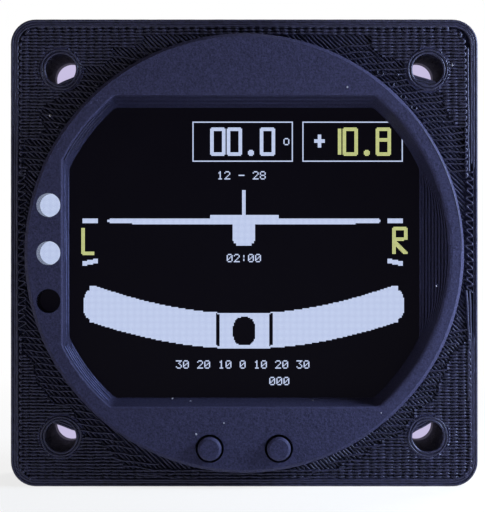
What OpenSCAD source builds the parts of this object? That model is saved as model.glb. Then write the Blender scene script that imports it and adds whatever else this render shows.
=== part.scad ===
// Digital turn coordinator for a 57 mm (2 1/4 inch) panel cut-out.
// Millimetres. X is right, Z is up and -Y is towards the pilot. The origin is the
// centre of the four panel holes, on the square flange's front face.

/* [Case] */
// Outside width and height of the square case
case_w = 60; // [59:0.25:64]
// Corner radius of the case
case_corner_r = 3.2; // [2:0.1:4]
// Depth of the front housing behind its flange face
housing_depth = 14; // [13.5:0.25:18]
// Thickness of the rear cover
cover_t = 2.5; // [2:0.1:4]
// Thickness of the case's side walls
side_wall = 1.85; // [1.5:0.05:2.2]
// Distance from a panel hole's centre to the case's edges
panel_hole_edge = 6.425; // [5.8:0.025:6.8]
// Diameter of a panel hole
panel_hole_d = 4.2; // [3.6:0.1:4.4]
// Wall between a panel hole and the display's pocket
hole_wall = 1.225; // [0.9:0.025:1.6]
// Least width of the flange beside the disc that stands in the panel's cut-out
flange_rim = 2; // [1.5:0.1:2.4]
// How far the disc stands out of the flange
disc_h = 2.5; // [1.6:0.1:3.5]
// Chamfer on the disc's front edge
disc_chamfer = 0.4; // [0.1:0.05:0.8]

/* [Window] */
// Width of the disc's ring outside the window's round ends
bezel_ring = 2.1; // [1.7:0.1:2.6]
// Width of the disc left of the window's straight left edge
bezel_left = 4.9; // [4.6:0.1:5.2]
// Height of the disc above the window
bezel_top = 8; // [7.4:0.1:8.8]
// Height of the disc below the window
bezel_bottom = 8.5; // [8:0.1:9]
// How far the round ends lean in from the disc's face to the display
round_lean = 0.8; // [0.4:0.1:1.2]
// How far the left wall leans in
side_lean = 0.5; // [0.2:0.05:0.8]
// How far the bottom wall leans in
bottom_lean = 0.75; // [0.4:0.05:1.1]
// Radius of the window's corners
window_corner_r = 1.2; // [0.4:0.1:2]
// Depth of the display's face behind the flange face
display_y = 1.9; // [1.5:0.1:2.4]

/* [Lamp windows] */
// Number of lamp windows
lamp_count = 3; // [1:1:4]
// Diameter of a lamp window
lamp_d = 3.1; // [2.5:0.1:3.3]
// Distance between lamp windows
lamp_pitch = 6.1; // [5:0.1:7]
// Wall between the lamp windows and the main window on the disc's face
lamp_wall = 0.24; // [0.2:0.02:0.4]

/* [Buttons] */
// Diameter of a button's cap
button_d = 3; // [2.6:0.1:3.2]
// Gap round a button in its hole
button_gap = 0.3; // [0.2:0.05:0.4]
// Distance between the two buttons
button_pitch = 8.8; // [8:0.1:9.2]
// Distance from a button's centre to the disc's lower edge
button_edge = 3.15; // [2.9:0.05:3.5]
// How far a cap stands out of the disc's face
button_proud = 0.8; // [0.4:0.05:1.2]
// Chamfer on a cap's front edge
button_chamfer = 0.3; // [0.1:0.05:0.5]
// How far a button moves when pressed
button_travel = 0.3; // [0.2:0.05:0.4]
// Diameter of the collar that stops a cap from falling out
collar_d = 4.6; // [4.2:0.1:4.8]
// Thickness of the collar
collar_t = 0.8; // [0.6:0.05:1]

/* [Display] */
// Distance of the display's centre left of the case's centre
display_offset = 0.1; // [0:0.05:0.3]
// Thickness of the front polariser
polariser_t = 0.2; // [0.1:0.05:0.3]
// Inset of the polariser from the front glass
polariser_inset = 0.4; // [0.2:0.1:0.8]
// Thickness of each glass
glass_t = 0.5; // [0.4:0.05:0.6]
// Width of the ledge of bare rear glass that carries the driver chip
glass_ledge = 3.9; // [3.6:0.1:4.2]
// Thickness of the backlight
backlight_t = 1.8; // [1.6:0.1:2.2]
// Length of the driver chip
driver_l = 16; // [12:0.5:20]
// Width of the driver chip
driver_w = 1.3; // [1:0.1:1.5]
// Width of the flexible circuit
flex_w = 20; // [16:0.5:24]
// Thickness of the flexible circuit
flex_t = 0.12; // [0.1:0.01:0.16]
// Width of the flexible circuit's bond on the glass ledge
flex_bond = 1.4; // [1:0.1:1.6]

/* [Circuit board] */
// Distance from the board's sides to those of the display
board_inset = 1; // [0.8:0.1:2]
// Distance from the board's top and bottom edges to those of the display
board_end_inset = 1.1; // [0.8:0.1:2]
// Thickness of the board
board_t = 1.6; // [1.2:0.1:2]
// Space between the backlight and the board
board_gap = 2.4; // [2.2:0.1:3]
// Width of the tabs that carry the switches and the screws
tab_w = 22.2; // [22:0.1:23]
// Distance from the top tab's edge to the case's top
top_tab_inset = 4.4; // [3.8:0.1:5]
// Distance from a board screw to the tab's side
tab_screw_inset = 1.8; // [1.7:0.05:1.9]
// Distance from the top board screws to the top tab's edge
top_screw_inset = 2.6; // [2.3:0.1:2.9]
// Side of a switch's square body
switch_w = 4.5; // [4.2:0.1:4.6]
// Height of a switch's body
switch_h = 3.3; // [3:0.1:3.5]
// Diameter of a switch's plunger
plunger_d = 2.2; // [1.8:0.1:2.4]
// Height of the socket that takes the flexible circuit
flex_socket_h = 1.6; // [1.2:0.1:2]
// Side of the microcontroller's body
controller_w = 7; // [6:0.5:8]
// Height of the microcontroller's body
controller_h = 1.4; // [1:0.1:1.6]
// Side of the inductor's body
inductor_w = 6.2; // [5:0.1:7]
// Height of the inductor's body
inductor_h = 2.6; // [2:0.1:3]
// Width of the regulator's body
regulator_w = 6.5; // [6:0.1:7]
// Length of the regulator's body
regulator_l = 3.5; // [3.3:0.1:3.8]
// Height of the regulator's body
regulator_h = 1.6; // [1.4:0.1:1.8]
// Length of a capacitor
capacitor_l = 3.5; // [3:0.1:4]
// Width of a capacitor
capacitor_w = 2.8; // [2.4:0.1:3.2]
// Height of a capacitor
capacitor_h = 1.9; // [1.4:0.1:2.4]
// Length of the crystal
crystal_l = 3.2; // [2.5:0.1:3.5]
// Width of the crystal
crystal_w = 2.5; // [2:0.1:2.8]
// Height of the crystal
crystal_h = 0.8; // [0.6:0.1:1]
// Length of the gyro sensor
gyro_l = 4.5; // [4:0.1:5]
// Width of the gyro sensor
gyro_w = 4; // [3.5:0.1:4.5]
// Height of the gyro sensor
gyro_h = 1; // [0.8:0.1:1.2]
// Width of a foam strip
foam_w = 4; // [2:0.25:5]

/* [Connector] */
// Distance from a jack screw to the end of the connector's flange
flange_end = 2.905; // [2.7:0.005:3.2]
// Height of the connector's flange
flange_h = 12.5; // [12:0.1:13]
// Thickness of the connector's flange
flange_t = 0.8; // [0.5:0.05:1]
// Width of the connector's shell
shell_w = 16.4; // [16.2:0.1:17]
// Height of the connector's shell
shell_h = 8; // [7.8:0.1:8.4]
// How far the shell stands behind the flange
shell_reach = 5.8; // [5:0.1:6.5]
// Thickness of the shell
shell_t = 0.4; // [0.3:0.05:0.5]
// Distance between neighbouring contacts
contact_pitch = 2.77; // [2.7:0.01:2.8]
// Distance between the two rows of contacts
contact_rows = 2.84; // [2.7:0.02:3]
// Diameter of a contact
contact_d = 1.1; // [0.9:0.05:1.2]
// Distance between the jack screws
jack_pitch = 24.99; // [24.9:0.01:25.1]
// Width across the flats of a jack screw and its nut
jack_flats = 4.75; // [4.5:0.05:5]
// Length of a jack screw's hexagon
jack_head = 4.8; // [4:0.1:6]
// Diameter of the tapped hole in a jack screw
jack_tap_d = 2.3; // [2.1:0.05:2.5]

/* [Fasteners] */
// Distance between a cover screw and the panel hole beside it, across
cover_screw_shift = 8.075; // [7.5:0.025:8.6]
// Distance from the cover screws to the case's top or bottom
cover_screw_edge = 5.1; // [4.6:0.1:5.4]
// Diameter of a cover screw
cover_screw_d = 2.5; // [2:0.1:2.6]
// Outside diameter of a threaded insert
insert_d = 3.6; // [3.4:0.1:3.8]
// Length of a threaded insert
insert_l = 4.5; // [3.5:0.25:6]
// Diameter of a board screw
board_screw_d = 1.9; // [1.6:0.1:2]
// Length of a board screw below its head
board_screw_l = 5.5; // [5:0.1:6.2]

/* [Hidden] */
$fn = 72;

// Clearances, each named for what it keeps apart
pocket_clearance = 0.15;
thread_clearance = 0.03;
lip_clearance = 0.15;
plunger_clearance = 0.15;
collar_clearance = 0.05;
head_clearance = 0.02;
cutout_clearance = 0.3;
solder_clearance = 0.15;
plunger_rest_gap = 0.3;
switch_room = 0.75;
part_gap = 1.2;
cut = 0.1;

// Sizes that follow from those above
disc_d = case_w - 2 * flange_rim;
panel_hole_square = case_w - 2 * panel_hole_edge;
window_r = disc_d / 2 - bezel_ring;
window_left = disc_d / 2 - bezel_left;
window_top = disc_d / 2 - bezel_top;
window_bottom = disc_d / 2 - bezel_bottom;
window_rear_r = window_r - round_lean;
window_rear_half_w = window_left - side_lean;
window_rear_half_h = window_bottom - bottom_lean;
display_w = case_w - 2 * (side_wall + pocket_clearance);
display_h = panel_hole_square - panel_hole_d - 2 * (hole_wall + pocket_clearance);
button_drop = disc_d / 2 - button_edge;
board_w = display_w - 2 * board_inset;
board_h = display_h - 2 * board_end_inset;
top_tab_z = case_w / 2 - top_tab_inset;
bottom_tab_z = case_w / 2 - side_wall - pocket_clearance;
board_screw_pitch = tab_w - 2 * tab_screw_inset;
top_screw_z = top_tab_z - top_screw_inset;
flange_w = jack_pitch + 2 * flange_end;
cover_screw_span_x = panel_hole_square - 2 * cover_screw_shift;
cover_screw_span_z = case_w - 2 * cover_screw_edge;

// Depths, from the disc's face to the back of the cover
disc_y = -disc_h;
front_glass_y = display_y + polariser_t;
rear_glass_y = front_glass_y + glass_t;
backlight_y = rear_glass_y + glass_t;
backlight_end = backlight_y + backlight_t;
board_y = backlight_end + board_gap;
board_back = board_y + board_t;
cover_y = housing_depth;
back_y = cover_y + cover_t;
flange_y = cover_y - flange_t;
collar_y = display_y + collar_clearance;
plunger_y = collar_y + collar_t;
switch_well_y = board_y - switch_h / 3;
plunger_end = switch_well_y - button_travel - plunger_rest_gap;

// The pocket that holds the display, and the recesses for the board's tabs
display_left = -display_offset - display_w / 2;
display_right = display_left + display_w;
pocket_left = display_left - pocket_clearance;
pocket_right = display_right + pocket_clearance;
pocket_half_h = display_h / 2 + pocket_clearance;
tab_recess_half_w = tab_w / 2 + pocket_clearance;
switch_pocket_half_w = button_pitch / 2 + switch_w / 2 + switch_room;
bottom_recess_z = -bottom_tab_z - pocket_clearance;
top_recess_z = top_tab_z + pocket_clearance;

// The connector's moulding and contacts
moulding_recess = 0.3;
socket_recess = 1;
contact_tail = 0.8;
contact_tail_d = 0.7;

// The flexible circuit folds round the rear glass in this much room
flex_room = 0.6;
glass_right = display_right - flex_room;
front_glass_right = glass_right - glass_ledge;
chip_gap = 0.3;
flex_socket_w = 4.5;
flex_socket_x = 2 * contact_pitch + contact_tail_d / 2 + part_gap + flex_socket_w / 2;
flex_socket_spare = 2;
flex_drop = 5;

// The rows of parts on the back of the board, above and below the connector
leg_pitch = 0.5;
leg_w = 0.22;
leg_t = 0.2;
leg_reach = 1;
upper_row_z = board_h / 2 - controller_w / 2 - leg_reach - part_gap / 2;
lower_row_z = -board_h / 2 + inductor_w / 2 + part_gap;
tab_t = 0.25;
regulator_leg_w = 0.7;
regulator_leg_pitch = 2.3;
inductor_corner_r = 1;
inductor_core_d = 4.4;
inductor_core_h = 0.4;
capacitor_count = 3;

lamp_x = -window_left - lamp_wall - lamp_d / 2;
lip_h = 1.2;
lip_t = 1.2;
pilot_spare = 0.6;
insert_spare = 1;
screw_head_h = 1.2;
cover_head_d = 2 * cover_screw_d - 0.4;
cover_head_h = (cover_head_d - cover_screw_d) / 2;
jack_thread_d = 2.7;
jack_nut_h = 2;
jack_tap_l = 4;
shell_lean = 10;
shell_corner_r = 2;
flange_corner_r = 1;
insulator_w = 19;
insulator_h = 10.6;

// An outline in X and Z, made solid from depth y0 to depth y1
module slab(y0, y1) {
    translate([0, y1, 0])
        rotate([90, 0, 0])
            linear_extrude(y1 - y0)
                children();
}

// A round bar or bore along Y
module bar(d, y0, y1, x = 0, z = 0) {
    translate([x, y1, z])
        rotate([90, 0, 0])
            cylinder(h = y1 - y0, d = d);
}

// A cone along Y, d0 across at y0 and d1 across at y1
module taper(d0, d1, y0, y1, x = 0, z = 0) {
    translate([x, y1, z])
        rotate([90, 0, 0])
            cylinder(h = y1 - y0, d1 = d1, d2 = d0);
}

// A hexagonal bar along Y
module hex_bar(flats, y0, y1, x = 0, z = 0) {
    translate([x, y1, z])
        rotate([90, 0, 0])
            cylinder(h = y1 - y0, d = flats / cos(30), $fn = 6);
}

// A block centred at x and z, from depth y0 to depth y1
module block(w, h, y0, y1, x = 0, z = 0) {
    translate([x - w / 2, y0, z - h / 2])
        cube([w, y1 - y0, h]);
}

// A rectangle with exact round corners
module round_rect(w, h, r) {
    square([w - 2 * r, h], center = true);
    square([w, h - 2 * r], center = true);
    for (x = [-1, 1], z = [-1, 1])
        translate([x * (w / 2 - r), z * (h / 2 - r)])
            circle(r);
}

// Repeats its children at the four panel holes
module at_panel_holes() {
    for (x = [-1, 1], z = [-1, 1])
        translate([x * panel_hole_square / 2, 0, z * panel_hole_square / 2])
            children();
}

// Repeats its children at the four cover screws
module at_cover_screws() {
    for (x = [-1, 1], z = [-1, 1])
        translate([x * cover_screw_span_x / 2, 0, z * cover_screw_span_z / 2])
            children();
}

// Repeats its children at the four board screws
module at_board_screws() {
    for (x = [-1, 1], z = [top_screw_z, -button_drop])
        translate([x * board_screw_pitch / 2, 0, z])
            children();
}

// Repeats its children at the two jack screws
module at_jack_screws() {
    for (x = [-1, 1])
        translate([x * jack_pitch / 2, 0, 0])
            children();
}

// Repeats its children at the nine contacts, five above four
module at_contacts() {
    for (row = [0, 1], i = [0 : 4 - row])
        translate([(i - 2 + row / 2) * contact_pitch, 0, (0.5 - row) * contact_rows])
            children();
}

// A circle cut by straight sides, with its corners rounded
module clipped_circle(r, left, right, top, bottom, corner) {
    offset(r = corner)
        offset(delta = -corner)
            intersection() {
                circle(r);
                translate([-left, -bottom])
                    square([left + right, top + bottom]);
            }
}

// The window narrows from the disc's face to the display, so its walls slope
module window_cut() {
    hull() {
        slab(disc_y - cut, disc_y)
            clipped_circle(window_r, window_left, window_r, window_top, window_bottom,
                           window_corner_r);
        slab(display_y, display_y + cut)
            clipped_circle(window_rear_r, window_rear_half_w, window_rear_half_w,
                           window_rear_half_h, window_rear_half_h, window_corner_r);
    }
}

module lamp_windows() {
    for (i = [0 : lamp_count - 1])
        bar(lamp_d, disc_y - cut, display_y + cut, lamp_x, (i - (lamp_count - 1) / 2) * lamp_pitch);
}

module housing_cavity() {
    translate([pocket_left, display_y, -pocket_half_h])
        cube([pocket_right - pocket_left, housing_depth - display_y + cut, 2 * pocket_half_h]);
    translate([-switch_pocket_half_w, display_y, bottom_recess_z])
        cube([2 * switch_pocket_half_w, housing_depth - display_y + cut, -bottom_recess_z]);
    translate([-tab_recess_half_w, board_y, bottom_recess_z])
        cube([2 * tab_recess_half_w, housing_depth - board_y + cut, top_recess_z - bottom_recess_z]);
}

module front_housing() {
    color([0.16, 0.17, 0.26])
        difference() {
            union() {
                slab(0, housing_depth)
                    round_rect(case_w, case_w, case_corner_r);
                bar(disc_d, disc_y + disc_chamfer, cut);
                taper(disc_d - 2 * disc_chamfer, disc_d, disc_y, disc_y + disc_chamfer);
            }
            window_cut();
            lamp_windows();
            housing_cavity();
            for (x = [-1, 1])
                bar(button_d + 2 * button_gap, disc_y - cut, display_y + cut,
                    x * button_pitch / 2, -button_drop);
            at_panel_holes()
                bar(panel_hole_d, -cut, housing_depth + cut);
            at_cover_screws()
                bar(insert_d, housing_depth - insert_l - insert_spare, housing_depth + cut);
            at_board_screws()
                bar(board_screw_d + 2 * thread_clearance,
                    board_back - board_screw_l - pilot_spare, board_back);
        }
}

// The plate's lip drops into the housing's cavity
module rear_cover() {
    lip_left = pocket_left + lip_clearance;
    lip_right = pocket_right - lip_clearance;
    lip_half_h = pocket_half_h - lip_clearance;
    color([0.13, 0.14, 0.2])
        difference() {
            union() {
                slab(cover_y, back_y)
                    round_rect(case_w, case_w, case_corner_r);
                difference() {
                    translate([lip_left, cover_y - lip_h, -lip_half_h])
                        cube([lip_right - lip_left, lip_h, 2 * lip_half_h]);
                    translate([lip_left + lip_t, cover_y - lip_h - cut, -lip_half_h + lip_t])
                        cube([lip_right - lip_left - 2 * lip_t, lip_h + cut, 2 * (lip_half_h - lip_t)]);
                }
            }
            slab(cover_y - cut, back_y + cut)
                shell_outline(cutout_clearance);
            at_jack_screws()
                bar(jack_thread_d + 2 * cutout_clearance, cover_y - cut, back_y + cut);
            at_panel_holes()
                bar(panel_hole_d, cover_y - cut, back_y + cut);
            at_cover_screws() {
                bar(cover_screw_d + 2 * cutout_clearance, cover_y - cut, back_y + cut);
                taper(cover_screw_d + 2 * cutout_clearance, cover_head_d + 2 * cutout_clearance,
                      back_y - cover_head_h, back_y);
            }
        }
}

module polariser() {
    w = front_glass_right - display_left - 2 * polariser_inset;
    color([0.03, 0.03, 0.04])
        block(w, display_h - 2 * polariser_inset, display_y, front_glass_y,
              display_left + polariser_inset + w / 2);
}

module front_glass() {
    w = front_glass_right - display_left;
    color([0.1, 0.1, 0.12])
        block(w, display_h, front_glass_y, rear_glass_y, display_left + w / 2);
}

module rear_glass() {
    w = glass_right - display_left;
    color([0.5, 0.55, 0.6])
        block(w, display_h, rear_glass_y, backlight_y, display_left + w / 2);
}

module driver_chip() {
    color([0.08, 0.08, 0.09])
        block(driver_w, driver_l, rear_glass_y - glass_t + flex_t, rear_glass_y,
              front_glass_right + chip_gap + driver_w / 2);
}

module backlight() {
    w = glass_right - display_left;
    color([0.9, 0.9, 0.92])
        block(w, display_h, backlight_y, backlight_end, display_left + w / 2);
}

// Bonded to the front of the glass ledge, folded round its edge, along the back of the
// backlight and down to the socket on the board
module lcd_flex() {
    fold_x = glass_right + flex_t;
    run_end_x = flex_socket_x + flex_socket_w / 2 + flex_drop;
    socket_x = flex_socket_x + flex_socket_w / 2;
    socket_y = board_y - flex_socket_h / 2;
    color([0.7, 0.4, 0.12])
        translate([0, 0, -flex_w / 2])
            linear_extrude(flex_w)
                polygon([
                    [glass_right - flex_bond, rear_glass_y - flex_t],
                    [fold_x, rear_glass_y - flex_t],
                    [fold_x, backlight_end + flex_t],
                    [run_end_x, backlight_end + flex_t],
                    [socket_x + flex_t, socket_y + flex_t],
                    [socket_x, socket_y + flex_t],
                    [socket_x, socket_y],
                    [run_end_x - flex_t, backlight_end],
                    [glass_right, backlight_end],
                    [glass_right, rear_glass_y],
                    [glass_right - flex_bond, rear_glass_y]
                ]);
}

module foam_strips() {
    color([0.2, 0.2, 0.22])
        for (z = [-1, 1])
            block(board_w - 2 * foam_w, foam_w, backlight_end, board_y, 0,
                  z * (board_h - foam_w) / 2);
}

module main_board() {
    color([0.05, 0.25, 0.13])
        difference() {
            union() {
                block(board_w, board_h, board_y, board_back);
                block(tab_w, top_tab_z + bottom_tab_z, board_y, board_back, 0,
                      (top_tab_z - bottom_tab_z) / 2);
            }
            at_board_screws()
                bar(board_screw_d + 2 * solder_clearance, board_y - cut, board_back + cut);
            at_contacts()
                bar(contact_tail_d + 2 * solder_clearance, board_y - cut, board_back + cut);
        }
}

module flex_socket() {
    color([0.85, 0.82, 0.72])
        block(flex_socket_w, flex_w + flex_socket_spare, board_y - flex_socket_h, board_y,
              flex_socket_x);
}

// A square package with legs on its four sides
module microcontroller() {
    legs = floor((controller_w - leg_reach) / leg_pitch);
    color([0.1, 0.1, 0.11])
        translate([0, board_back, upper_row_z]) {
            block(controller_w, controller_w, 0, controller_h);
            for (side = [0 : 3], i = [0 : legs - 1])
                rotate([0, 90 * side, 0])
                    block(leg_reach + cut, leg_w, 0, leg_t, (controller_w + leg_reach - cut) / 2,
                          (i - (legs - 1) / 2) * leg_pitch);
        }
}

module crystal() {
    color([0.75, 0.76, 0.78])
        block(crystal_l, crystal_w, board_back, board_back + crystal_h,
              -controller_w / 2 - leg_reach - part_gap - crystal_l / 2, upper_row_z);
}

module gyro_sensor() {
    color([0.12, 0.12, 0.13])
        block(gyro_l, gyro_w, board_back, board_back + gyro_h,
              controller_w / 2 + leg_reach + part_gap + gyro_l / 2, upper_row_z);
}

// A power package with its tab and three legs
module regulator() {
    tab_l = regulator_l / 2;
    color([0.1, 0.1, 0.11])
        translate([-board_w / 2 + part_gap + regulator_w / 2, board_back, upper_row_z]) {
            block(regulator_w, regulator_l, 0, regulator_h);
            block(regulator_w / 2, tab_l + cut, 0, tab_t, 0, (regulator_l + tab_l - cut) / 2);
            for (i = [-1 : 1])
                block(regulator_leg_w, tab_l + cut, 0, tab_t, i * regulator_leg_pitch,
                      -(regulator_l + tab_l - cut) / 2);
        }
}

// A shielded coil with a square body and a round core that shows on top
module inductor() {
    color([0.25, 0.25, 0.27])
        translate([-board_w / 2 + part_gap + inductor_w / 2, board_back, lower_row_z]) {
            slab(0, inductor_h)
                round_rect(inductor_w, inductor_w, inductor_corner_r);
            bar(inductor_core_d, inductor_h, inductor_h + inductor_core_h);
        }
}

module capacitors() {
    color([0.8, 0.6, 0.2])
        for (i = [0 : capacitor_count - 1])
            block(capacitor_w, capacitor_l, board_back, board_back + capacitor_h,
                  board_w / 2 - part_gap - capacitor_w / 2 - i * (capacitor_w + part_gap), lower_row_z);
}

// A square switch with a round well for its plunger
module switch_body(x) {
    color([0.12, 0.12, 0.13])
        difference() {
            block(switch_w, switch_w, board_y - switch_h, board_y, x, -button_drop);
            bar(plunger_d + 2 * plunger_clearance, board_y - switch_h - cut, switch_well_y,
                x, -button_drop);
        }
}

module left_switch() {
    switch_body(-button_pitch / 2);
}

module right_switch() {
    switch_body(button_pitch / 2);
}

module plunger(x) {
    color([0.1, 0.1, 0.1])
        bar(plunger_d, plunger_y, plunger_end, x, -button_drop);
}

module left_switch_plunger() {
    plunger(-button_pitch / 2);
}

module right_switch_plunger() {
    plunger(button_pitch / 2);
}

// A round cap with a chamfered edge, and a collar behind the wall
module button_cap(x) {
    face_y = disc_y - button_proud;
    color([0.14, 0.15, 0.24]) {
        taper(button_d - 2 * button_chamfer, button_d, face_y, face_y + button_chamfer,
              x, -button_drop);
        bar(button_d, face_y + button_chamfer, collar_y, x, -button_drop);
        bar(collar_d, collar_y, collar_y + collar_t, x, -button_drop);
    }
}

module left_button_cap() {
    button_cap(-button_pitch / 2);
}

module right_button_cap() {
    button_cap(button_pitch / 2);
}

module board_screws() {
    color([0.7, 0.7, 0.72])
        at_board_screws()
            difference() {
                union() {
                    bar(board_screw_d, board_back - board_screw_l, board_back);
                    bar(2 * board_screw_d, board_back, board_back + screw_head_h);
                }
                hex_bar(board_screw_d / 2, board_back + screw_head_h / 2, board_back + screw_head_h + cut);
            }
}

module cover_inserts() {
    color([0.8, 0.62, 0.3])
        at_cover_screws()
            difference() {
                bar(insert_d - 2 * thread_clearance, cover_y - insert_l, cover_y);
                bar(cover_screw_d + 2 * thread_clearance, cover_y - insert_l - cut, cover_y + cut);
            }
}

// Countersunk screws, flush with the back of the cover
module cover_screws() {
    head_d = cover_head_d + 2 * cutout_clearance - 2 * head_clearance;
    neck_d = cover_screw_d + 2 * cutout_clearance - 2 * head_clearance;
    color([0.7, 0.7, 0.72])
        at_cover_screws()
            difference() {
                union() {
                    bar(cover_screw_d, cover_y - insert_l, back_y - cover_head_h);
                    taper(neck_d, head_d, back_y - cover_head_h, back_y);
                }
                hex_bar(cover_screw_d * 0.6, back_y - cover_head_h, back_y + cut);
            }
}

// The D outline, wider at the top, grown by a margin
module shell_outline(margin) {
    lean = tan(shell_lean) * shell_h / 2;
    offset(r = shell_corner_r + margin)
        offset(delta = -shell_corner_r)
            polygon([
                [-shell_w / 2 - lean / 2, shell_h / 2],
                [shell_w / 2 + lean / 2, shell_h / 2],
                [shell_w / 2 - lean, -shell_h / 2],
                [-shell_w / 2 + lean, -shell_h / 2]
            ]);
}

module connector_shell() {
    color([0.78, 0.78, 0.8])
        difference() {
            union() {
                slab(flange_y, cover_y)
                    round_rect(flange_w, flange_h, flange_corner_r);
                slab(flange_y, cover_y + shell_reach)
                    shell_outline(0);
            }
            slab(flange_y - cut, cover_y + shell_reach + cut)
                shell_outline(-shell_t);
            at_jack_screws()
                bar(jack_thread_d + 2 * solder_clearance, flange_y - cut, cover_y + cut);
        }
}

// The moulding fills the shell, and its wider back sits on the board
module connector_insulator() {
    color([0.1, 0.12, 0.16])
        difference() {
            union() {
                slab(board_back, flange_y)
                    square([insulator_w, insulator_h], center = true);
                slab(flange_y - cut, cover_y + shell_reach - moulding_recess)
                    shell_outline(-shell_t - thread_clearance);
            }
            at_contacts()
                bar(contact_d + 2 * thread_clearance, board_back - cut, cover_y + shell_reach);
        }
}

// Sockets in the moulding, with thinner tails soldered through the board
module connector_contacts() {
    color([0.85, 0.7, 0.35])
        at_contacts()
            difference() {
                union() {
                    bar(contact_tail_d, board_y - contact_tail, board_back);
                    bar(contact_d, board_back, cover_y + shell_reach - socket_recess);
                }
                bar(contact_d * 0.6, cover_y, cover_y + shell_reach);
            }
}

module jack_nuts() {
    color([0.7, 0.7, 0.72])
        at_jack_screws()
            difference() {
                hex_bar(jack_flats, flange_y - jack_nut_h, flange_y);
                bar(jack_thread_d + 2 * thread_clearance, flange_y - jack_nut_h - cut, flange_y + cut);
            }
}

module jack_screws() {
    color([0.75, 0.75, 0.76])
        at_jack_screws()
            difference() {
                union() {
                    bar(jack_thread_d, flange_y - jack_nut_h, back_y);
                    hex_bar(jack_flats, back_y, back_y + jack_head);
                }
                bar(jack_tap_d, back_y + jack_head - jack_tap_l, back_y + jack_head + cut);
            }
}

front_housing();
rear_cover();
polariser();
front_glass();
rear_glass();
driver_chip();
backlight();
lcd_flex();
foam_strips();
main_board();
flex_socket();
microcontroller();
crystal();
gyro_sensor();
regulator();
inductor();
capacitors();
left_switch();
right_switch();
left_switch_plunger();
right_switch_plunger();
left_button_cap();
right_button_cap();
board_screws();
cover_inserts();
cover_screws();
connector_shell();
connector_insulator();
connector_contacts();
jack_nuts();
jack_screws();
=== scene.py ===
# Turn coordinator with a printed case, a lit display, two buttons and a rear connector.
# Shapes are worked out in millimetres and made metres when a piece is finished.
from math import atan2, ceil, copysign, cos, floor, hypot, pi, radians, sin, sqrt

import bmesh
import bpy
from mathutils import Matrix, Vector, noise


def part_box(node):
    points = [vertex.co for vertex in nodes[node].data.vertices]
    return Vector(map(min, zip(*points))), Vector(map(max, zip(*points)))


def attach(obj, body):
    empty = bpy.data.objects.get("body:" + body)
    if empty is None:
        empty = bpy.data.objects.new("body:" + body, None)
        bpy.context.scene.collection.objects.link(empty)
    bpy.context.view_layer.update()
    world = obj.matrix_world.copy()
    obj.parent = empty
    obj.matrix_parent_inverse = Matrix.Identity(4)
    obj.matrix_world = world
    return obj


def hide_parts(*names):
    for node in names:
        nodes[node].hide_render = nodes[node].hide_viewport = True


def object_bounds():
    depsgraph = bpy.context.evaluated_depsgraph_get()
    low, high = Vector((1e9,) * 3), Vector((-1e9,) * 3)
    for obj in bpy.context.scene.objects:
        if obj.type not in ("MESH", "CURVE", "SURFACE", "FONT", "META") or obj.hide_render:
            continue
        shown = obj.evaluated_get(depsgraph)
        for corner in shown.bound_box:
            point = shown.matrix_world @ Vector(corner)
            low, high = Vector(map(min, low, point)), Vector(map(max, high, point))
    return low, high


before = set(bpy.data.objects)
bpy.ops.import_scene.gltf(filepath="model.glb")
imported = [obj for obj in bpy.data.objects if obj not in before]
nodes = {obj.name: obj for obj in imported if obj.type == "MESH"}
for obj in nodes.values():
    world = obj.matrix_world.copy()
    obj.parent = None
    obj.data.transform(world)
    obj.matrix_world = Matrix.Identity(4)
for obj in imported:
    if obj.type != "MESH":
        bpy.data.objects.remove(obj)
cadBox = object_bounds()
mm = 0.001
uprightTurn = radians(90)
holeAt = 23.575  # how far the panel holes lie from the middle, across and up
corners = [(x, z) for x in (-1, 1) for z in (-1, 1)]
print("frame loaded:", len(nodes), "nodes")

photoView = {
    "place": (-0.289, -233.0, 2.298),
    "lens": 127.6,
    "sensor": 36.0,
    "shift": (0.001, -0.041),
    "clip": (0.01, 20),
}

studio = {
    "floorSize": 4.0,
    "floorGap": 0.02,  # mm under the case
    "floorShade": 0.2,  # the part of the floor's colour beside the case that is real light, on plain white
    "shadeReach": (0.05, 0.20),
    "paper": (0.86, 0.86, 0.88),
    "backdropAt": 1.2,
    "backdropSize": 1.1,
    "cardColour": (0.571, 0.515, 0.752),
    "cardRadius": 2.11,
    "cardDepth": 0.04,
    "cardSpill": 0.5,  # how much of the cards' light falls on the walls of the holes
    "ambient": (1.0, 0.94, 1.0),
    "ambientStrength": 0.015,
    "lamps": {
        "key": {"place": (0.16, -0.031, 0.060), "size": 0.07, "power": 0.53, "colour": (0.70, 0.82, 1.0)},
        "near": {"place": (0.07, -0.018, 0.0), "size": 0.03, "power": 0.017, "colour": (0.62, 0.78, 1.0)},
        "top": {"place": (0.03, -0.07, 0.20), "size": 0.12, "power": 0.044, "colour": (1.0, 0.93, 0.80)},
        "left": {"place": (-0.16, -0.07, 0.0), "size": 0.10, "power": 0.044, "colour": (1.0, 0.93, 0.85)},
        "rear": {"place": (0.35, 0.55, 0.45), "size": 0.4, "power": 4.5, "colour": (1.0, 0.98, 0.95)},
    },
}


def linkObject(name, data):
    made = bpy.data.objects.new(name, data)
    bpy.context.scene.collection.objects.link(made)
    return made


def toObject(bm, name):
    mesh = bpy.data.meshes.new(name)
    bm.to_mesh(mesh)
    bm.free()
    return linkObject(name, mesh)


def standUp(bm):
    # turns a shape drawn on the ground to face the camera
    bmesh.ops.rotate(bm, verts=bm.verts, cent=(0, 0, 0), matrix=Matrix.Rotation(uprightTurn, 3, "X"))


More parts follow.
